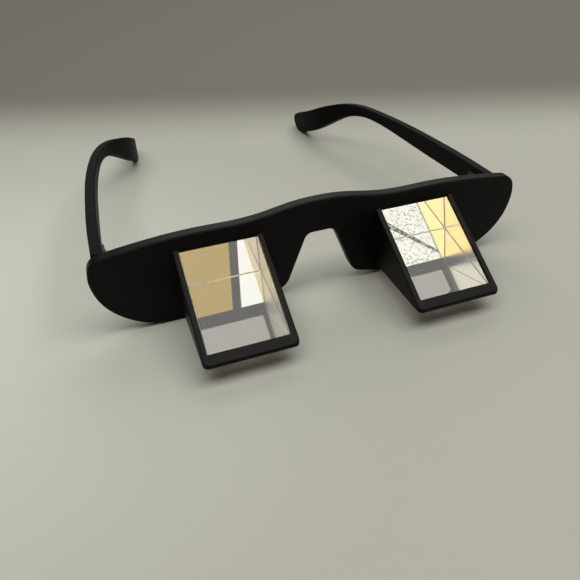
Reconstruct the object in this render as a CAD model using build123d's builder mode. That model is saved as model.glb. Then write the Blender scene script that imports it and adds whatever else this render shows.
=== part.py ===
"""Prism bed glasses: a moulded front that carries two glass prisms, and two folding temples.

The glasses face -Y, the temples run back along +Y and +Z is up. The origin is the crown of the
nose notch, in the middle of the front face. Lengths are in millimetres, angles in degrees.
"""

from build123d import *
import os
from math import cos, radians, sin, tan

os.makedirs("parts", exist_ok=True)

# Front plate, measured from the crown of the nose notch
plate_width = 147.2
plate_thickness = 3.75
brow_height = 11.5
skirt_drop = 22.05
skirt_flat_start = 25.3
plate_corner_radius = 5.0
plate_edge_bevel = 0.4

# Plate outline: shares of the half width and of the brow height above, or the skirt drop below
brow_shares = [(0, 1), (0.136, 0.94), (0.245, 0.82), (0.367, 0.748), (0.53, 0.757), (0.72, 0.7),
               (0.883, 0.583)]
corner_shares = (0.982, 0.5)
corner_lean_share = 0.25
brow_fall_share = 0.12
wing_shares = [(1, 0.07), (0.978, 0.39), (0.91, 0.707), (0.822, 0.907)]
skirt_end_share = 0.68

# Nose notch and the two rests that stand out behind it
notch_crown_width = 9.5
notch_mouth_width = 24.6
notch_flank_drop = 18.85
notch_crown_radius = 3.0
notch_mouth_radius = 5.5
skirt_blend_radius = 12.0
rest_depth = 2.6
rest_width = 3.4
rest_draft = 10.0
rest_edge_radius = 0.8
rest_shares = (0.17, 0.84)

# Prisms: right-angled, with the long face up and forwards
pupil_distance = 67.5
prism_width = 25.0
prism_height = 19.2
prism_slope = 30.0
prism_bevel = 0.25
prism_inset = 2.38
window_top = 2.95

# Prism housings
housing_wall = 1.9
housing_floor = 1.05
bezel_rise = 0.75
bar_overlap = 2.0
bar_wall = 1.4
bar_floor = 4.0
bar_corner_radius = 1.8
bezel_edge_radius = 0.6
ledge = 1.2
aperture_corner_radius = 0.5
glue_gap = 0.05

# Temples
temple_length = 131.6
temple_shift = 1.9
temple_thickness = 3.5
temple_top = 5.95
temple_root_height = 7.2
temple_root_inset = 4.3
temple_drop = 25.8
ear_inset = 24.2
temple_bevel = 0.4
butt_gap = 0.15

# Temple shape in plan: shares of its length, and of the inward travel of the ear
plan_shares = [(0.294, 0.04), (0.424, 0.088), (0.555, 0.184), (0.655, 0.329), (0.732, 0.565),
               (0.83, 0.88), (0.925, 0.97), (1.05, 1)]
# Temple shape from the side: shares of its length, and of the drop from its top to the ear tip's foot
top_shares = [(0, 0), (0.432, 0.072), (0.624, 0.103), (0.709, 0.127), (0.771, 0.215), (0.848, 0.4),
              (0.925, 0.562), (0.975, 0.668)]
tip_shares = [(1, 0.77), (0.992, 0.91), (0.957, 1)]
under_shares = [(0.915, 0.962), (0.87, 0.868), (0.832, 0.775), (0.771, 0.565), (0.728, 0.41),
                (0.678, 0.303), (0.586, 0.264), (0.432, 0.298)]
root_fall_share = 0.02

# Barrel hinges
hinge_height = 1.6
knuckle_radius = 1.5
knuckle_height = 1.5
knuckle_count = 3
knuckle_gap = 0.06
barrel_gap = 0.4
leaf_thickness = 0.8
frame_leaf_length = 8.6
temple_leaf_length = 7.6
leaf_corner_radius = 1.2
leaf_relief = 0.3

# Hinge screws and rivets
screw_radius = 0.7
running_clearance = 0.04
screw_head_radius = 1.15
screw_head_height = 0.4
screw_slot_width = 0.3
screw_slot_depth = 0.2
rivet_radius = 0.5
rivet_grip = 1.2
rivet_head_radius = 0.85
rivet_head_height = 0.35
rivet_clearance = 0.02
rivet_spacing = 2.7
rivet_end_distance = 1.5
rivet_count = 2

# Worked out from the values above
overrun = plate_thickness
half_width = plate_width / 2
half_pd = pupil_distance / 2
slope = radians(prism_slope)
prism_depth = prism_height / tan(slope)
prism_top = window_top + prism_inset * tan(slope)
prism_bottom = prism_top - prism_height
prism_tip = prism_inset - prism_depth
window_length = prism_height / sin(slope) - prism_inset / cos(slope) - bar_overlap
bar_end = window_length + bar_overlap + bar_wall
housing_width = prism_width + 2 * housing_wall
housing_bottom = prism_bottom - housing_floor
temple_front = plate_thickness + butt_gap
temple_outer = half_width - temple_root_inset - temple_shift
temple_inner = temple_outer - temple_thickness
hinge_x = temple_inner - barrel_gap - knuckle_radius
hinge_y = plate_thickness + barrel_gap + knuckle_radius
barrel_height = knuckle_count * knuckle_height
barrel_bottom = hinge_height - barrel_height / 2

# Planes that look at the plate's back face, and at the temple's inner face, from where a hand works
front_plane = Plane.XZ
back_plane = Plane((0, plate_thickness, 0), x_dir=(-1, 0, 0), z_dir=(0, 1, 0))
inner_plane = Plane((temple_inner, 0, 0), x_dir=(0, -1, 0), z_dir=(-1, 0, 0))
# The two temples mirror each other about a plane of their own, a little to the wearer's right
temple_mirror = Plane.YZ.offset(-temple_shift)


def on_slope(along, rise=0):
    """Point (y, z) a distance down the glass from the plate's face, and a height off the glass."""
    y = -along * cos(slope) - rise * sin(slope)
    z = window_top - along * sin(slope) + rise * cos(slope)
    return (y, z)


def on_flank(share, out=0):
    """Point (x, z) at a share of the notch's flank, and a distance out from it into the plate."""
    run = (notch_mouth_width - notch_crown_width) / 2
    length = (run**2 + notch_flank_drop**2) ** 0.5
    x = notch_crown_width / 2 + share * run + out * notch_flank_drop / length
    z = -share * notch_flank_drop + out * run / length
    return (x, z)


def outline_points(shares, height):
    """Points (x, z) of the plate's outline from shares of its half width and of a height."""
    return [(x * half_width, z * height) for x, z in shares]


def side_points(shares):
    """Points (y, z) of the temple's side view from shares of its length and drop."""
    return [(temple_front + y * temple_length, temple_top - z * temple_drop) for y, z in shares]


# Front frame: the plate, outlined as one half and mirrored
brow = outline_points(brow_shares, brow_height)
corner = outline_points([corner_shares], brow_height)[0]
wing = outline_points(wing_shares, -skirt_drop)
skirt_end = (skirt_end_share * half_width, -skirt_drop)
notch = [
    (0, 0),
    (notch_crown_width / 2, 0),
    (notch_mouth_width / 2, -notch_flank_drop),
    (skirt_flat_start, -skirt_drop),
    skirt_end,
]
with BuildPart() as plate:
    with BuildSketch(front_plane.offset(-plate_thickness)) as plate_outline:
        with BuildLine():
            FilletPolyline(*notch, radius=[notch_crown_radius, notch_mouth_radius, skirt_blend_radius])
            Spline(skirt_end, *reversed(wing), corner, tangents=((1, 0), (-corner_lean_share, 1)))
            Spline(corner, *reversed(brow), tangents=((-1, brow_fall_share), (-1, 0)))
            Line(brow[0], notch[0])
        make_face()
        mirror(about=Plane.YZ)
        corners = plate_outline.vertices().sort_by(Axis.X)
        fillet([corners[0], corners[-1]], radius=plate_corner_radius)
    extrude(amount=plate_thickness)
    rims = faces().sort_by(Axis.Y)
    chamfer(rims[0].edges() + rims[-1].edges(), length=plate_edge_bevel)

# One prism housing: its side view, carried across the housing's width and rounded at the bar
bar_outer = on_slope(bar_end, bezel_rise)
bar_foot = (bar_outer[0], housing_bottom)
housing_side = [
    (plate_thickness / 2, window_top + bezel_rise / cos(slope)),
    (0, window_top + bezel_rise / cos(slope)),
    bar_outer,
    bar_foot,
    (plate_thickness / 2, housing_bottom),
]
bezel_axis = Axis((0, 0, 0), (0, -sin(slope), cos(slope)))
with BuildPart() as housing:
    with BuildSketch(Plane.YZ.offset(half_pd - housing_width / 2)):
        with BuildLine():
            Polyline(*housing_side, close=True)
        make_face()
    extrude(amount=housing_width)
    bar_face = faces().sort_by(Axis((0, 0, 0), (0, -cos(slope), -sin(slope))))[-1]
    ends = bar_face.edges().filter_by(Axis.X, reverse=True)
    fillet(ends, radius=bar_corner_radius)
    bezel_face = faces().sort_by(bezel_axis)[-1]
    fillet(bezel_face.edges().sort_by(Axis.Y)[:-1], radius=bezel_edge_radius)

# The room inside a housing: a pocket for the glass, the window over it and the two apertures
glass_side = [(prism_inset, prism_top), (prism_inset, prism_bottom), (prism_tip, prism_bottom)]
window_side = [
    (0, window_top),
    on_slope(window_length),
    on_slope(window_length, overrun),
    (0, window_top + 2 * overrun),
]
room_width = prism_width + 2 * glue_gap
with BuildPart() as glass_room:
    with BuildSketch(Plane.YZ.offset(half_pd - room_width / 2)):
        with BuildLine():
            Polyline(*glass_side, close=True)
        make_face()
        offset(amount=glue_gap, kind=Kind.INTERSECTION)
        with BuildLine():
            Polyline(*window_side, close=True)
        make_face()
    extrude(amount=room_width)
    with BuildSketch(front_plane.offset(-prism_inset)):
        with Locations((half_pd, (prism_top + prism_bottom) / 2)):
            RectangleRounded(prism_width - 2 * ledge, prism_height - 2 * ledge, aperture_corner_radius)
    extrude(amount=-overrun)
    floor_front = prism_tip + bar_floor
    with BuildSketch(Plane.XY.offset(prism_bottom)):
        with Locations((half_pd, floor_front / 2)):
            Rectangle(prism_width - 2 * ledge, -floor_front)
    extrude(amount=-overrun)

# One nose rest, drafted so that the nose slides in between
rest_top = on_flank(rest_shares[0])
rest_foot = on_flank(rest_shares[1])
rest_bulge = on_flank(sum(rest_shares) / 2, rest_width)
with BuildPart() as nose_rest:
    with BuildSketch(back_plane):
        with BuildLine():
            Line((-rest_top[0], rest_top[1]), (-rest_foot[0], rest_foot[1]))
            ThreePointArc(
                (-rest_foot[0], rest_foot[1]),
                (-rest_bulge[0], rest_bulge[1]),
                (-rest_top[0], rest_top[1]),
            )
        make_face()
    extrude(amount=rest_depth, taper=rest_draft)
    fillet(faces().sort_by(Axis.Y)[-1].edges(), radius=rest_edge_radius)

# Rivet places on the frame leaf, along X from its free end, and on the temple leaf, along Y
frame_leaf_end = hinge_x - frame_leaf_length
temple_leaf_end = hinge_y + temple_leaf_length
frame_rivets = [frame_leaf_end + rivet_end_distance + i * rivet_spacing for i in range(rivet_count)]
mirrored_rivets = [-2 * temple_shift - x for x in frame_rivets]
temple_rivets = [temple_leaf_end - rivet_end_distance - i * rivet_spacing for i in range(rivet_count)]
rivet_hole = rivet_radius + rivet_clearance

with BuildPart() as front_frame:
    add(plate.part)
    add(housing.part)
    mirror(housing.part, about=Plane.YZ)
    add(nose_rest.part)
    mirror(nose_rest.part, about=Plane.YZ)
    add(glass_room.part, mode=Mode.SUBTRACT)
    mirror(glass_room.part, about=Plane.YZ, mode=Mode.SUBTRACT)
    with BuildSketch(back_plane):
        with Locations([(-x, hinge_height) for x in frame_rivets + mirrored_rivets]):
            Circle(rivet_hole)
    extrude(amount=-(rivet_grip + rivet_clearance), mode=Mode.SUBTRACT)
front_frame.part.label = "front_frame"
export_step(front_frame.part, "parts/front_frame.step")

# Prisms
with BuildPart() as left_prism:
    with BuildSketch(Plane.YZ.offset(half_pd - prism_width / 2)):
        with BuildLine():
            Polyline(*glass_side, close=True)
        make_face()
    extrude(amount=prism_width)
    chamfer(edges(), length=prism_bevel)
left_prism.part.label = "left_prism"
export_step(left_prism.part, "parts/left_prism.step")

with BuildPart() as right_prism:
    mirror(left_prism.part, about=Plane.YZ)
right_prism.part.label = "right_prism"
export_step(right_prism.part, "parts/right_prism.step")

# Temple: the side view cut through the plan view
middle = temple_outer - temple_thickness / 2
plan_line = [(middle - x * ear_inset, temple_front + y * temple_length) for y, x in plan_shares]
hinge_seat_end = (middle, temple_leaf_end + rivet_end_distance)
top_line = side_points(top_shares)
tip_line = side_points(tip_shares)
under_line = side_points(under_shares)
root_foot = (temple_front, temple_top - temple_root_height)
with BuildPart() as left_temple:
    with BuildSketch(Plane.XY.offset(-skirt_drop - overrun)):
        with BuildLine():
            Line((middle, temple_front), hinge_seat_end)
            Spline(hinge_seat_end, *plan_line, tangents=((0, 1), (0, 1)))
        trace(line_width=temple_thickness)
    extrude(amount=temple_drop + 2 * overrun)
    with BuildSketch(Plane.YZ.offset(-overrun)):
        with BuildLine():
            root_ways = ((1, -root_fall_share), (-1, root_fall_share))
            Spline(*top_line, *tip_line, *under_line, root_foot, tangents=root_ways)
            Line(root_foot, top_line[0])
        make_face()
    extrude(amount=half_width + overrun, mode=Mode.INTERSECT)
    chamfer(edges().filter_by(Axis.Z, reverse=True).sort_by(Axis.Y)[2:], length=temple_bevel)
    with BuildSketch(inner_plane):
        with Locations([(-y, hinge_height) for y in temple_rivets]):
            Circle(rivet_hole)
    extrude(amount=-(rivet_grip + rivet_clearance), mode=Mode.SUBTRACT)
left_temple.part.label = "left_temple"
export_step(left_temple.part, "parts/left_temple.step")

with BuildPart() as right_temple:
    mirror(left_temple.part, about=temple_mirror)
right_temple.part.label = "right_temple"
export_step(right_temple.part, "parts/right_temple.step")


def knuckle_plane(level):
    """Plane at the bottom of one of the barrel's knuckles, counted from below."""
    return Plane.XY.offset(barrel_bottom + level * knuckle_height + knuckle_gap / 2)


# Frame leaf: lies on the plate's back and rolls into the lower and the upper knuckle
with BuildPart() as left_frame_hinge:
    with BuildSketch(back_plane):
        with Locations((-(hinge_x + frame_leaf_end) / 2, hinge_height)):
            RectangleRounded(frame_leaf_length, barrel_height - knuckle_gap, leaf_corner_radius)
        with Locations((-hinge_x + frame_leaf_length / 4, hinge_height)):
            Rectangle(frame_leaf_length / 2, barrel_height - knuckle_gap)
        with Locations((-hinge_x, hinge_height)):
            Rectangle(2 * (knuckle_radius + leaf_relief), knuckle_height + knuckle_gap, mode=Mode.SUBTRACT)
        with Locations([(-x, hinge_height) for x in frame_rivets]):
            Circle(rivet_hole, mode=Mode.SUBTRACT)
    extrude(amount=leaf_thickness)
    for level in range(0, knuckle_count, 2):
        with BuildSketch(knuckle_plane(level)):
            with Locations((hinge_x, hinge_y)):
                Circle(knuckle_radius)
                Circle(screw_radius + running_clearance, mode=Mode.SUBTRACT)
        extrude(amount=knuckle_height - knuckle_gap)
left_frame_hinge.part.label = "left_frame_hinge"
export_step(left_frame_hinge.part, "parts/left_frame_hinge.step")

# Temple leaf: lies on the temple's inner face and rolls into the middle knuckle
leaf_start = hinge_y + knuckle_radius + leaf_relief
tongue_length = leaf_start - hinge_y
with BuildPart() as left_temple_hinge:
    with BuildSketch(inner_plane):
        with Locations((-(leaf_start + temple_leaf_end) / 2, hinge_height)):
            RectangleRounded(temple_leaf_end - leaf_start, barrel_height, leaf_corner_radius)
        with Locations((-hinge_y - tongue_length, hinge_height)):
            Rectangle(2 * tongue_length, knuckle_height - knuckle_gap)
        with Locations([(-y, hinge_height) for y in temple_rivets]):
            Circle(rivet_hole, mode=Mode.SUBTRACT)
    extrude(amount=leaf_thickness)
    with BuildSketch(knuckle_plane(1)):
        with Locations((hinge_x, hinge_y)):
            Circle(knuckle_radius)
    extrude(amount=knuckle_height - knuckle_gap)
    with BuildSketch(knuckle_plane(0)):
        with Locations((hinge_x, hinge_y)):
            Circle(screw_radius + running_clearance)
    extrude(amount=barrel_height, mode=Mode.SUBTRACT)
left_temple_hinge.part.label = "left_temple_hinge"
export_step(left_temple_hinge.part, "parts/left_temple_hinge.step")

# Hinge screw: a slotted head over a plain shank
with BuildPart() as left_hinge_screw:
    with BuildSketch(Plane.XY.offset(barrel_bottom)):
        with Locations((hinge_x, hinge_y)):
            Circle(screw_radius)
    extrude(amount=barrel_height)
    with BuildSketch(Plane.XY.offset(barrel_bottom + barrel_height)):
        with Locations((hinge_x, hinge_y)):
            Circle(screw_head_radius)
    extrude(amount=screw_head_height)
    chamfer(edges().sort_by(Axis.Z)[-1], length=screw_head_height / 2)
    with BuildSketch(Plane.XY.offset(barrel_bottom + barrel_height + screw_head_height)):
        with Locations((hinge_x, hinge_y)):
            Rectangle(2 * screw_head_radius, screw_slot_width)
    extrude(amount=-screw_slot_depth, mode=Mode.SUBTRACT)
left_hinge_screw.part.label = "left_hinge_screw"
export_step(left_hinge_screw.part, "parts/left_hinge_screw.step")

# The right-hand hinge pieces mirror the left-hand ones
with BuildPart() as right_frame_hinge:
    mirror(left_frame_hinge.part, about=temple_mirror)
right_frame_hinge.part.label = "right_frame_hinge"
export_step(right_frame_hinge.part, "parts/right_frame_hinge.step")

with BuildPart() as right_temple_hinge:
    mirror(left_temple_hinge.part, about=temple_mirror)
right_temple_hinge.part.label = "right_temple_hinge"
export_step(right_temple_hinge.part, "parts/right_temple_hinge.step")

with BuildPart() as right_hinge_screw:
    mirror(left_hinge_screw.part, about=temple_mirror)
right_hinge_screw.part.label = "right_hinge_screw"
export_step(right_hinge_screw.part, "parts/right_hinge_screw.step")

# Rivets: a low sloping head on the leaf and a shank through it into the plastic
rivet_side = [
    (0, -rivet_grip),
    (rivet_radius, -rivet_grip),
    (rivet_radius, leaf_thickness),
    (rivet_head_radius, leaf_thickness),
    (rivet_radius, leaf_thickness + rivet_head_height),
    (0, leaf_thickness + rivet_head_height),
]
with BuildPart() as rivet:
    with BuildSketch(Plane.XZ):
        with BuildLine():
            Polyline(*rivet_side, close=True)
        make_face()
    revolve(axis=Axis.Z)

with BuildPart() as frame_hinge_rivets:
    for x in frame_rivets + mirrored_rivets:
        add(back_plane * Location((-x, hinge_height)) * rivet.part)
frame_hinge_rivets.part.label = "frame_hinge_rivets"
export_step(frame_hinge_rivets.part, "parts/frame_hinge_rivets.step")

with BuildPart() as left_temple_rivets:
    for y in temple_rivets:
        add(inner_plane * Location((-y, hinge_height)) * rivet.part)
left_temple_rivets.part.label = "left_temple_rivets"
export_step(left_temple_rivets.part, "parts/left_temple_rivets.step")

with BuildPart() as right_temple_rivets:
    mirror(left_temple_rivets.part, about=temple_mirror)
right_temple_rivets.part.label = "right_temple_rivets"
export_step(right_temple_rivets.part, "parts/right_temple_rivets.step")
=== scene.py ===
"""Looks of the prism bed glasses: materials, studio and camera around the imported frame.

The frame's axes are the part's own: the glasses face -Y, the temples run along +Y, +Z is up and
the origin is the crown of the nose notch. Lengths are in metres, angles in degrees.
"""

import logging
from dataclasses import dataclass
from enum import Enum
from math import pi

import bpy
import numpy as np
from mathutils import Matrix, Vector


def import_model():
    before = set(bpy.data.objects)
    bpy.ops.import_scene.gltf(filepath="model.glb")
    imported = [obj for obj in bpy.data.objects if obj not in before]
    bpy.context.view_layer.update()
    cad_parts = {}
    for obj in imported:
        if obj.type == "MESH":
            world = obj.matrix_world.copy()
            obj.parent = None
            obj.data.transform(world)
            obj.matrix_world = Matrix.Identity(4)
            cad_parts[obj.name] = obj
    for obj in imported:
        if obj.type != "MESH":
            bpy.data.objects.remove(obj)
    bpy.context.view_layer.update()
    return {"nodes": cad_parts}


LOG = logging.getLogger("bed_glasses")

Colour = tuple[float, float, float]
Point = tuple[float, float, float]
Pair = tuple[float, float]

# Distance of each prism's middle from the middle of the glasses.
PRISM_SPACING = 0.03375

# The grain's noise: its detail, the values that it mostly stays between, and the factors on
# colour and roughness at those values.
GRAIN_DETAIL = 3.0
GRAIN_NOISE = (0.3, 0.7)
GRAIN_TINT = (0.82, 1.18)


class Slot(Enum):
    """Material slots, the glass with one for each prism."""

    FRAME_PLASTIC = "frame_plastic"
    TEMPLE_PLASTIC = "temple_plastic"
    LEFT_PRISM_GLASS = "prism_glass, left"
    RIGHT_PRISM_GLASS = "prism_glass, right"
    HINGE_STEEL = "hinge_steel"
    SCREW_STEEL = "screw_steel"


NODES: dict[Slot, tuple[str, ...]] = {
    Slot.FRAME_PLASTIC: ("front_frame",),
    Slot.TEMPLE_PLASTIC: ("left_temple", "right_temple"),
    Slot.LEFT_PRISM_GLASS: ("left_prism",),
    Slot.RIGHT_PRISM_GLASS: ("right_prism",),
    Slot.HINGE_STEEL: (
        "left_frame_hinge",
        "right_frame_hinge",
        "left_temple_hinge",
        "right_temple_hinge",
    ),
    Slot.SCREW_STEEL: (
        "left_hinge_screw",
        "right_hinge_screw",
        "frame_hinge_rivets",
        "left_temple_rivets",
        "right_temple_rivets",
    ),
}


@dataclass(frozen=True)
class Finish:
    """One moulded or metal finish.

    Attributes:
        name: Material name.
        colour: Linear base colour.
        roughness: Middle of the roughness.
        metallic: One for bare metal, zero otherwise.
        grain: Size of the surface grain.
        relief: Height of the surface grain.
        specular: Strength of the surface reflection, 0.5 for plain plastic.
    """

    name: str
    colour: Colour
    roughness: float
    metallic: float = 0.0
    grain: float = 0.00045
    relief: float = 0.000006
    specular: float = 0.5


MOULDED = Finish("moulded_black", (0.0036, 0.0030, 0.0019), 0.43, specular=0.115)
TEMPLE = Finish("moulded_black_temple", (0.0028, 0.0027, 0.0019), 0.5, specular=0.06)
HINGE = Finish("satin_black_steel", (0.03, 0.03, 0.032), 0.42, 0.6, 0.0006, 0.000002)
STEEL = Finish("bright_steel", (0.55, 0.56, 0.58), 0.3, 1.0, 0.0005, 0.000001)


@dataclass(frozen=True)
class PrismFinish:
    """Clear glass with finely ground side faces and ground bevels.

    Attributes:
        name: Material name.
        roughness: Roughness of the side faces.
        clear: Linear colour of the polished glass.
        ground: Linear colour of the ground glass.
        bevel_roughness: Roughness of the bevels.
        refraction: Index of refraction.
        half_width: Half the prism's width, less its bevel.
        bevel: Distance past the half width over which the glass counts as bevelled. What lies
            further out is the side face.
        edges: Long edges of the prism as (y, z): lower rear, upper rear and front.
        edge_reach: Distance from an edge within which the glass counts as bevelled.
    """

    name: str
    roughness: float
    clear: Colour = (0.985, 0.995, 0.985)
    ground: Colour = (0.98, 0.97, 0.94)
    bevel_roughness: float = 0.8
    refraction: float = 1.52
    half_width: float = 0.01224
    bevel: float = 0.00023
    edges: tuple[Pair, ...] = (
        (0.00238, -0.014876),
        (0.00238, 0.004324),
        (-0.030875, -0.014876),
    )
    edge_reach: float = 0.00036


@dataclass(frozen=True)
class PaintedPocketLight:
    """A pale coat in a prism's pocket, along its lower rear corner and on its side walls: painted light
    that stands in for the light that the ground glass scatters.

    Attributes:
        colour: Linear colour of the painted light.
        edge: The pocket's lower rear corner as (y, z).
        reach: Distance from that corner within which the pocket is painted pale.
        wall: Distance of a pocket's side wall from the prism's middle.
        tolerance: Room on either side of the pocket's walls.
        slope: Direction square to the window, in the YZ plane.
        height: Height of the painted light along that direction, under the window.
    """

    colour: Colour = (0.9, 0.88, 0.8)
    edge: Pair = (0.00243, -0.014926)
    reach: float = 0.00045
    wall: float = 0.01255
    tolerance: float = 0.00006
    slope: Point = (0.0, -0.5, 0.866)
    height: float = 0.0020


LEFT_PRISM = PrismFinish("prism_glass_left", 0.26)
RIGHT_PRISM = PrismFinish("prism_glass_right", 0.6)


def new_material(name: str) -> bpy.types.Material:
    """Adds a node material.

    Args:
        name: Its name.

    Returns:
        The material.
    """
    material = bpy.data.materials.new(name)
    material.use_nodes = True
    return material


def object_place(tree: bpy.types.NodeTree) -> bpy.types.NodeSocket:
    """Adds the node that gives a point's place on its object.

    Args:
        tree: The node tree.

    Returns:
        The socket with the place.
    """
    return tree.nodes.new("ShaderNodeTexCoord").outputs["Object"]


def reckon(
    tree: bpy.types.NodeTree, operation: str, *values: float | bpy.types.NodeSocket
) -> bpy.types.NodeSocket:
    """Adds a Math node.

    Args:
        tree: The node tree.
        operation: The node's operation.
        values: Its numbers or the sockets that feed it.

    Returns:
        The socket with its value.
    """
    step = tree.nodes.new("ShaderNodeMath")
    step.operation = operation
    for socket, value in zip(step.inputs, values):
        if isinstance(value, bpy.types.NodeSocket):
            tree.links.new(value, socket)
        else:
            socket.default_value = value
    return step.outputs["Value"]


def measure(
    tree: bpy.types.NodeTree, operation: str, place: bpy.types.NodeSocket, other: Point
) -> bpy.types.NodeSocket:
    """Adds a Vector Math node that gives a number.

    Args:
        tree: The node tree.
        operation: The node's operation, DISTANCE or DOT_PRODUCT.
        place: The socket with the point.
        other: The point or the direction that it is measured against.

    Returns:
        The socket with the number.
    """
    step = tree.nodes.new("ShaderNodeVectorMath")
    step.operation = operation
    step.inputs[1].default_value = other
    tree.links.new(place, step.inputs[0])
    return step.outputs["Value"]


def ramp(
    tree: bpy.types.NodeTree,
    value: bpy.types.NodeSocket,
    taken: Pair,
    given: Pair = (0.0, 1.0),
    kind: str = "LINEAR",
) -> bpy.types.NodeSocket:
    """Adds a Map Range node.

    Args:
        tree: The node tree.
        value: The socket that it takes.
        taken: Values of that socket at which the ramp starts and ends.
        given: Results there.
        kind: The node's interpolation.

    Returns:
        The socket with the result.
    """
    step = tree.nodes.new("ShaderNodeMapRange")
    step.interpolation_type = kind
    for name, number in zip(("From Min", "From Max", "To Min", "To Max"), (*taken, *given)):
        step.inputs[name].default_value = number
    tree.links.new(value, step.inputs["Value"])
    return step.outputs["Result"]


def blend(
    tree: bpy.types.NodeTree,
    share: bpy.types.NodeSocket,
    first: Colour | bpy.types.NodeSocket,
    second: Colour | bpy.types.NodeSocket,
) -> bpy.types.NodeSocket:
    """Adds a Mix node for two colours.

    Args:
        tree: The node tree.
        share: The socket with the second colour's share.
        first: The first colour, or the socket that gives it.
        second: The second colour, or the socket that gives it.

    Returns:
        The socket with the mixed colour.
    """
    mix = tree.nodes.new("ShaderNodeMix")
    mix.data_type = "RGBA"
    tree.links.new(share, mix.inputs["Factor"])
    for name, tone in (("A", first), ("B", second)):
        if isinstance(tone, bpy.types.NodeSocket):
            tree.links.new(tone, mix.inputs[name])
        else:
            mix.inputs[name].default_value = (*tone, 1)
    return mix.outputs["Result"]


def prism_place(tree: bpy.types.NodeTree) -> tuple[bpy.types.NodeSocket, bpy.types.NodeSocket]:
    """Adds the nodes that place a point in its prism.

    Args:
        tree: The material's node tree.

    Returns:
        The distance across from the prism's middle, ||x| - spacing|, and the point in the YZ
        plane.
    """
    split = tree.nodes.new("ShaderNodeSeparateXYZ")
    flat = tree.nodes.new("ShaderNodeCombineXYZ")
    tree.links.new(object_place(tree), split.inputs["Vector"])
    tree.links.new(split.outputs["Y"], flat.inputs["Y"])
    tree.links.new(split.outputs["Z"], flat.inputs["Z"])
    outward = reckon(tree, "SUBTRACT", reckon(tree, "ABSOLUTE", split.outputs["X"]), PRISM_SPACING)
    return reckon(tree, "ABSOLUTE", outward), flat.outputs["Vector"]


def near_edge(
    tree: bpy.types.NodeTree, flat: bpy.types.NodeSocket, edge: Pair, reach: float
) -> bpy.types.NodeSocket:
    """Adds the nodes that tell points near a long edge of a prism.

    Args:
        tree: The material's node tree.
        flat: The point in the YZ plane.
        edge: The edge as (y, z).
        reach: Distance from the edge.

    Returns:
        One within the reach, zero past it.
    """
    return reckon(tree, "LESS_THAN", measure(tree, "DISTANCE", flat, (0.0, *edge)), reach)


class Grain:
    """The fine moulded grain, shared by the plastics and the metals."""

    def __init__(self) -> None:
        """Builds the node group once: a cloudy tint, a roughness and a height from one noise."""
        group = bpy.data.node_groups.new("moulded_grain", "ShaderNodeTree")
        for name, kind in (
            ("Place", "NodeSocketVector"),
            ("Colour", "NodeSocketColor"),
            ("Roughness", "NodeSocketFloat"),
            ("Fineness", "NodeSocketFloat"),
        ):
            group.interface.new_socket(name, in_out="INPUT", socket_type=kind)
        for name, kind in (
            ("Colour", "NodeSocketColor"),
            ("Roughness", "NodeSocketFloat"),
            ("Height", "NodeSocketFloat"),
        ):
            group.interface.new_socket(name, in_out="OUTPUT", socket_type=kind)
        nodes, links = group.nodes, group.links
        came = nodes.new("NodeGroupInput")
        gone = nodes.new("NodeGroupOutput")
        noise = nodes.new("ShaderNodeTexNoise")
        noise.inputs["Detail"].default_value = GRAIN_DETAIL
        links.new(came.outputs["Place"], noise.inputs["Vector"])
        links.new(came.outputs["Fineness"], noise.inputs["Scale"])
        tint = ramp(group, noise.outputs["Fac"], GRAIN_NOISE, GRAIN_TINT)
        colour = nodes.new("ShaderNodeVectorMath")
        colour.operation = "SCALE"
        links.new(came.outputs["Colour"], colour.inputs[0])
        links.new(tint, colour.inputs["Scale"])
        rough = reckon(group, "MULTIPLY", came.outputs["Roughness"], tint)
        rough.node.use_clamp = True
        links.new(colour.outputs["Vector"], gone.inputs["Colour"])
        links.new(rough, gone.inputs["Roughness"])
        links.new(noise.outputs["Fac"], gone.inputs["Height"])
        self.group = group

    def place_in(self, tree: bpy.types.NodeTree, finish: Finish) -> bpy.types.Node:
        """Places the group in a material with the finish's values.

        Args:
            tree: The material's node tree.
            finish: The finish.

        Returns:
            The group's node.
        """
        node = tree.nodes.new("ShaderNodeGroup")
        node.node_tree = self.group
        node.inputs["Colour"].default_value = (*finish.colour, 1)
        node.inputs["Roughness"].default_value = finish.roughness
        node.inputs["Fineness"].default_value = 1 / finish.grain
        tree.links.new(object_place(tree), node.inputs["Place"])
        return node


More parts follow.
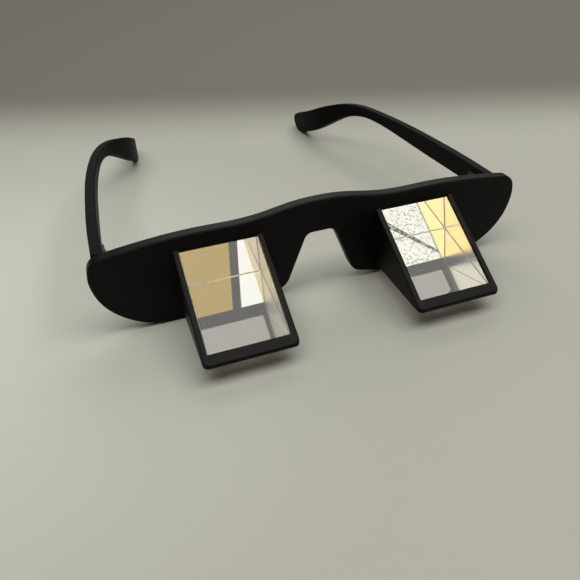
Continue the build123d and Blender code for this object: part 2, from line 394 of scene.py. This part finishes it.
class Materials:
    """Builds the node materials."""

    def __init__(self) -> None:
        """Builds the shared grain first."""
        self.grain = Grain()

    def solid(self, finish: Finish) -> bpy.types.Material:
        """Builds a plastic or metal finish with a fine grain.

        Args:
            finish: The numbers of the finish.

        Returns:
            The material.
        """
        material = new_material(finish.name)
        tree = material.node_tree
        shader = tree.nodes["Principled BSDF"]
        shader.inputs["Metallic"].default_value = finish.metallic
        shader.inputs["Specular IOR Level"].default_value = finish.specular
        grain = self.grain.place_in(tree, finish)
        bump = tree.nodes.new("ShaderNodeBump")
        bump.inputs["Distance"].default_value = finish.relief
        tree.links.new(grain.outputs["Colour"], shader.inputs["Base Color"])
        tree.links.new(grain.outputs["Roughness"], shader.inputs["Roughness"])
        tree.links.new(grain.outputs["Height"], bump.inputs["Height"])
        tree.links.new(bump.outputs["Normal"], shader.inputs["Normal"])
        return material

    def add_painted_pocket_light(self, material: bpy.types.Material, pocket_light: PaintedPocketLight) -> None:
        """Paints pale light into the prism pockets, along their lower rear corner and on their sides,
        standing in for the light that the ground glass scatters.

        The side walls are where ||x| - spacing| is the wall's distance, in front of the rear
        wall, over the floor of the pocket and under the window.

        Args:
            material: The front's material.
            pocket_light: The numbers of the painted light.
        """
        tree = material.node_tree
        base = tree.nodes["Principled BSDF"].inputs["Base Color"]
        across, flat = prism_place(tree)
        inside = reckon(tree, "LESS_THAN", across, pocket_light.wall + pocket_light.tolerance)
        corner = near_edge(tree, flat, pocket_light.edge, pocket_light.reach)
        split = tree.nodes.new("ShaderNodeSeparateXYZ")
        tree.links.new(flat, split.inputs["Vector"])
        y, z = pocket_light.edge
        lift = measure(tree, "DOT_PRODUCT", flat, pocket_light.slope)
        sides = reckon(tree, "COMPARE", across, pocket_light.wall, pocket_light.tolerance)
        for limit in (
            reckon(tree, "LESS_THAN", split.outputs["Y"], y + pocket_light.tolerance),
            reckon(tree, "GREATER_THAN", split.outputs["Z"], z - pocket_light.tolerance),
            reckon(tree, "LESS_THAN", lift, pocket_light.height),
        ):
            sides = reckon(tree, "MULTIPLY", sides, limit)
        # Mask of the painted light: the lower rear corner inside the pocket, and the side walls.
        share = reckon(tree, "MAXIMUM", reckon(tree, "MULTIPLY", inside, corner), sides)
        # Blends the pale painted light over the front's colour.
        tree.links.new(blend(tree, share, base.links[0].from_socket, pocket_light.colour), base)

    def glass(self, finish: PrismFinish) -> bpy.types.Material:
        """Builds the prism glass: polished, but ground on the side faces and the bevels.

        A point's distance across from its prism's middle, ||x| - spacing|, tells the side faces
        and their bevels, and its distance from a long edge in the YZ plane tells that edge's
        bevel.

        Args:
            finish: The numbers of the glass.

        Returns:
            The material.
        """
        material = new_material(finish.name)
        tree = material.node_tree
        shader = tree.nodes["Principled BSDF"]
        shader.inputs["IOR"].default_value = finish.refraction
        shader.inputs["Transmission Weight"].default_value = 1.0

        across, flat = prism_place(tree)
        sides = reckon(tree, "GREATER_THAN", across, finish.half_width + finish.bevel)
        past_face = reckon(tree, "GREATER_THAN", across, finish.half_width)
        bevels = reckon(tree, "SUBTRACT", past_face, sides)
        for edge in finish.edges:
            near = near_edge(tree, flat, edge, finish.edge_reach)
            bevels = reckon(tree, "MAXIMUM", bevels, near)
        on_sides = reckon(tree, "MULTIPLY", sides, finish.roughness)
        on_bevels = reckon(tree, "MULTIPLY", bevels, finish.bevel_roughness)
        rough = reckon(tree, "MAXIMUM", on_sides, on_bevels)
        colour = blend(tree, sides, finish.clear, finish.ground)
        tree.links.new(rough, shader.inputs["Roughness"])
        tree.links.new(colour, shader.inputs["Base Color"])
        return material


@dataclass
class Glasses:
    """The glasses as packed: every node gets its material.

    Attributes:
        nodes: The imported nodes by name.
    """

    nodes: dict[str, bpy.types.Object]

    def dress(self, slot: Slot, material: bpy.types.Material) -> None:
        """Gives every node of a slot its material.

        Args:
            slot: The slot.
            material: The material of that slot.
        """
        for name in NODES[slot]:
            mesh = self.nodes[name].data
            mesh.materials.clear()
            mesh.materials.append(material)
            LOG.info("%s wears %s", name, material.name)

    def build(self, makers: Materials) -> None:
        """Dresses all the nodes.

        Args:
            makers: The material builder.
        """
        moulded = makers.solid(MOULDED)
        # Painted light in the prism pockets, in the front's material.
        makers.add_painted_pocket_light(moulded, PaintedPocketLight())
        self.dress(Slot.FRAME_PLASTIC, moulded)
        self.dress(Slot.TEMPLE_PLASTIC, makers.solid(TEMPLE))
        self.dress(Slot.LEFT_PRISM_GLASS, makers.glass(LEFT_PRISM))
        self.dress(Slot.RIGHT_PRISM_GLASS, makers.glass(RIGHT_PRISM))
        self.dress(Slot.HINGE_STEEL, makers.solid(HINGE))
        self.dress(Slot.SCREW_STEEL, makers.solid(STEEL))


def add_stage(name: str, mesh: bpy.types.Mesh, material: bpy.types.Material) -> bpy.types.Object:
    """Adds a piece of the studio.

    Args:
        name: Name of the piece.
        mesh: Its mesh.
        material: Its material.

    Returns:
        The piece's object.
    """
    mesh.materials.append(material)
    piece = bpy.data.objects.new(name, mesh)
    bpy.context.scene.collection.objects.link(piece)
    return piece


@dataclass(frozen=True)
class Panel:
    """A soft studio light that neither the camera nor the glass shows.

    Attributes:
        name: Name of the light.
        place: Its middle.
        aim: The point that it faces.
        size: Its width and height.
        colour: Linear colour.
        radiance: Brightness that a mirror would show.
    """

    name: str
    place: Point
    aim: Point
    size: Pair
    colour: Colour
    radiance: float

    def build(self) -> None:
        """Adds the light."""
        light = bpy.data.lights.new(self.name, "AREA")
        light.shape = "RECTANGLE"
        light.size, light.size_y = self.size
        light.color = self.colour
        light.energy = self.radiance * pi * self.size[0] * self.size[1]
        lamp = bpy.data.objects.new(self.name, light)
        bpy.context.scene.collection.objects.link(lamp)
        way = Vector(self.aim) - Vector(self.place)
        turn = way.to_track_quat("-Z", "Y").to_matrix().to_4x4()
        lamp.matrix_world = Matrix.Translation(self.place) @ turn
        lamp.visible_camera = False
        lamp.visible_transmission = False


class Eye(Enum):
    """Points from which the windows look out.

    The two short faces of a prism send a sight line back over itself, so the windows look out
    from the camera's mirror point about the prisms' lower rear corner. Where the line also meets
    a side face, that point is mirrored once more, about the side face. The card behind the
    glasses is placed from the origin.
    """

    FRONT = (-0.0624, 0.1569, -0.1289)
    BESIDE_RIGHT_PRISM = (0.0199, 0.1569, -0.1289)
    BESIDE_LEFT_PRISM = (0.1549, 0.1569, -0.1289)
    REAR = (0.0, 0.0, 0.0)


@dataclass(frozen=True)
class Card:
    """A coloured card that only the glass shows, cut to the picture in the prisms.

    Attributes:
        name: Name of the card.
        corners: Directions to its corners, each as degrees to the wearer's left of straight
            ahead and degrees above the horizon.
        colour: Linear colour.
        eye: The point from which the directions are seen.
        reach: Distance from that point.
        speckle: Share by which a fine speckle darkens the card.
        speckle_scale: Specks per metre.
        speckle_range: Noise values at which the speckle is full and at which it ends.
    """

    name: str
    corners: tuple[Pair, ...]
    colour: Colour
    eye: Eye = Eye.FRONT
    reach: float = 1.25
    speckle: float = 0.0
    speckle_scale: float = 245.0
    speckle_range: Pair = (0.4, 0.56)

    def build(self) -> None:
        """Adds the card: each corner lies at the reach along its direction."""
        side, lift = np.radians(np.array(self.corners)).T
        ways = np.stack([np.sin(side) * np.cos(lift), -np.cos(side) * np.cos(lift), np.sin(lift)], axis=1)
        corners = np.array(self.eye.value) + self.reach * ways
        mesh = bpy.data.meshes.new(self.name)
        mesh.from_pydata(corners.tolist(), [], [tuple(range(len(corners)))])
        material = new_material(self.name)
        tree = material.node_tree
        tree.nodes.clear()
        glow = tree.nodes.new("ShaderNodeEmission")
        glow.inputs["Color"].default_value = (*self.colour, 1)
        noise = tree.nodes.new("ShaderNodeTexNoise")
        noise.inputs["Scale"].default_value = self.speckle_scale
        tree.links.new(object_place(tree), noise.inputs["Vector"])
        level = ramp(tree, noise.outputs["Fac"], self.speckle_range, (1.0 - self.speckle, 1.0))
        tree.links.new(level, glow.inputs["Strength"])
        out = tree.nodes.new("ShaderNodeOutputMaterial")
        tree.links.new(glow.outputs["Emission"], out.inputs["Surface"])
        card = add_stage(self.name, mesh, material)
        card.visible_camera = False
        card.visible_diffuse = False
        card.visible_glossy = False
        card.visible_shadow = False


@dataclass
class Floor:
    """The table: it passes under the skirt and both ear tips, with a painted pool of light beside the
    glasses, and painted shade darkens it behind them.

    Attributes:
        level: Height at the back of the front plate.
        start: Where the plate's back stands.
        lean: Rise of the floor per metre back, up to the ear tips.
        reach: Half its side.
        steps: Grid cells along each side.
        roughness: Roughness of its surface.
        specular: Strength of its surface reflection.
        near_colour: Linear colour around the glasses.
        light_pool_colour: Linear colour of the painted pool of light beside them.
        far_shade_colour: Linear colour of the far end, painted shade.
        heading: Level direction in which the camera looks.
        fade: Distances along that direction where the painted shade starts and ends.
        light_pool: Middle of the painted pool of light.
        light_pool_fade: Distances from that middle where the painted pool of light starts and ends to
            fade.
    """

    level: float = -0.02206
    start: float = 0.00375
    lean: float = 0.0172
    reach: float = 3.0
    steps: int = 24
    roughness: float = 0.9
    specular: float = 0.2
    near_colour: Colour = (0.466, 0.463, 0.412)
    # Painted pool of light beside the glasses.
    light_pool_colour: Colour = (0.61, 0.612, 0.555)
    # Painted shade of the far end.
    far_shade_colour: Colour = (0.185, 0.180, 0.153)
    heading: Pair = (0.318, 0.948)
    fade: Pair = (0.118, 0.205)
    light_pool: Point = (-0.125, 0.03, -0.02)
    light_pool_fade: Pair = (0.02, 0.16)

    def surface(self) -> bpy.types.Mesh:
        """Builds the floor as a grid: z rises evenly with y, by the lean.

        Returns:
            The mesh.
        """
        count = self.steps + 1
        line = np.linspace(-self.reach, self.reach, count)
        x, y = np.meshgrid(line, line)
        z = self.level + self.lean * (y - self.start)
        points = np.stack([x, y, z], axis=-1).reshape(-1, 3)
        low = (np.arange(self.steps)[:, None] * count + np.arange(self.steps)).ravel()
        faces = np.stack([low, low + 1, low + count + 1, low + count], axis=1)
        mesh = bpy.data.meshes.new("floor")
        mesh.from_pydata(points.tolist(), [], faces.tolist())
        return mesh

    def build(self) -> None:
        """Adds the floor with its painted pool of light and its painted shade that fades to the far
        colour.
        """
        material = new_material("floor")
        tree = material.node_tree
        shader = tree.nodes["Principled BSDF"]
        shader.inputs["Roughness"].default_value = self.roughness
        shader.inputs["Specular IOR Level"].default_value = self.specular
        place = object_place(tree)
        # Painted pool of light: lighter near its middle, fading out.
        away = measure(tree, "DISTANCE", place, self.light_pool)
        leave = ramp(tree, away, self.light_pool_fade, kind="SMOOTHSTEP")
        near = blend(tree, leave, self.light_pool_colour, self.near_colour)
        # Painted shade: the floor darkens towards the far end.
        along = measure(tree, "DOT_PRODUCT", place, (*self.heading, 0.0))
        fade = ramp(tree, along, self.fade, kind="SMOOTHSTEP")
        colour = blend(tree, fade, near, self.far_shade_colour)
        tree.links.new(colour, shader.inputs["Base Color"])
        add_stage("floor", self.surface(), material)


PANELS: tuple[Panel, ...] = (
    Panel("overhead", (0.1, -0.2, 1.1), (0.1, -0.2, 0), (1.9, 0.7), (1.0, 0.99, 0.95), 3.2),
    Panel("backlight", (0.5, 1.2, 1.05), (0, 0.05, 0), (1.5, 0.9), (1.0, 0.99, 0.96), 2.2),
)

CARDS: tuple[Card, ...] = (
    Card("tan_card", ((2, 24), (11.75, 30), (11.3, 40), (2, 46)), (0.38, 0.255, 0.055)),
    Card("seam_card", ((11.75, 30), (12.75, 30), (12.3, 40), (11.3, 40)), (0.01, 0.008, 0.006)),
    Card("white_card", ((12.75, 24), (22, 22), (22, 42), (12.3, 46)), (0.88, 0.87, 0.80), reach=1.3),
    Card(
        "wall_card",
        ((22, 20), (42, 18), (42, 40), (22, 42)),
        (0.92, 0.91, 0.79),
        reach=1.3,
        speckle=0.6,
        speckle_range=(0.36, 0.5),
    ),
    Card(
        "streak_card",
        ((29, 30.75), (29, 30.25), (36.2, 32.9), (36.2, 33.1)),
        (0.42, 0.41, 0.32),
        reach=1.2,
        speckle=0.95,
        speckle_scale=170.0,
        speckle_range=(0.47, 0.62),
    ),
    Card(
        "wedge_card",
        ((-4, 10), (-15, 10), (-15.7, 60), (-4, 60)),
        (3.2, 2.4, 0.4),
        Eye.BESIDE_RIGHT_PRISM,
        1.5,
    ),
    Card(
        "beige_card",
        ((-15, 10), (-58, 5), (-58, 70), (-15.7, 60)),
        (2.45, 2.15, 1.7),
        Eye.BESIDE_RIGHT_PRISM,
        1.5,
    ),
    Card(
        "cream_card",
        ((-27, 18), (-50, 18), (-50, 44), (-27, 44)),
        (0.885, 0.56, 0.04),
        Eye.BESIDE_LEFT_PRISM,
    ),
    Card(
        "rear_card",
        ((-174, -20), (-105, -20), (-105, 65), (-174, 65)),
        (0.68, 0.62, 0.49),
        Eye.REAR,
        1.0,
    ),
)


@dataclass
class Studio:
    """Floor, world light, soft lights and the cards that the prisms show.

    Attributes:
        ambient: Linear colour of the world as light.
        seen: Linear colour of the world where the camera sees it.
        mirrored: Linear colour of the world in reflections.
        through: Linear colour of the world through the glass.
    """

    ambient: Colour = (0.09, 0.09, 0.085)
    seen: Colour = (0.185, 0.180, 0.153)
    mirrored: Colour = (0.15, 0.145, 0.13)
    through: Colour = (0.30, 0.29, 0.25)

    def surround(self) -> None:
        """Sets the world: dim as light, and a plain tone to the camera, in reflections and in glass."""
        world = bpy.data.worlds.new("studio")
        world.use_nodes = True
        tree = world.node_tree
        back = tree.nodes["Background"]
        path = tree.nodes.new("ShaderNodeLightPath")
        tone = self.ambient
        for ray, shown in (
            ("Is Camera Ray", self.seen),
            ("Is Glossy Ray", self.mirrored),
            ("Is Transmission Ray", self.through),
        ):
            tone = blend(tree, path.outputs[ray], tone, shown)
        tree.links.new(tone, back.inputs["Color"])
        bpy.context.scene.world = world

    def build(self) -> None:
        """Adds the floor, the world, the lights and the cards."""
        Floor().build()
        self.surround()
        for panel in PANELS:
            panel.build()
        for card in CARDS:
            card.build()
        LOG.info("studio has %d lights and %d cards", len(PANELS), len(CARDS))


@dataclass
class Viewpoint:
    """The camera of the photograph.

    Attributes:
        place: Its position.
        right: Its image x axis.
        up: Its image y axis.
        focal_pixels: Focal length in pixels of the photograph.
        picture: Side of the photograph in pixels.
        sensor: Sensor width in millimetres.
        clip: Nearest and furthest distance that it shows.
    """

    place: Point = (-0.0624, -0.15215, 0.09915)
    right: Point = (0.94074, -0.3380, -0.0280)
    up: Point = (0.22346, 0.5556, 0.8008)
    focal_pixels: float = 589.68
    picture: float = 580.0
    sensor: float = 36.0
    clip: Pair = (0.005, 20.0)

    def build(self) -> None:
        """Adds the camera and makes it the scene's."""
        data = bpy.data.cameras.new("photo")
        data.sensor_width = self.sensor
        data.lens = self.focal_pixels * self.sensor / self.picture
        data.clip_start, data.clip_end = self.clip
        camera = bpy.data.objects.new("photo", data)
        bpy.context.scene.collection.objects.link(camera)
        back = Vector(self.right).cross(Vector(self.up)).normalized()
        right = Vector(self.right).normalized()
        up = back.cross(right)
        turn = Matrix((right, up, back)).transposed().to_4x4()
        camera.matrix_world = Matrix.Translation(self.place) @ turn
        bpy.context.scene.camera = camera


def main() -> None:
    """Loads the frame and builds the looks, the studio and the camera."""
    logging.basicConfig(level=logging.INFO, format="%(name)s: %(message)s")
    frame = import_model()
    Glasses(frame["nodes"]).build(Materials())
    Studio().build()
    Viewpoint().build()
    bpy.context.scene.view_settings.view_transform = "Standard"
    LOG.info("sizes written")


if __name__ == "__main__":
    main()
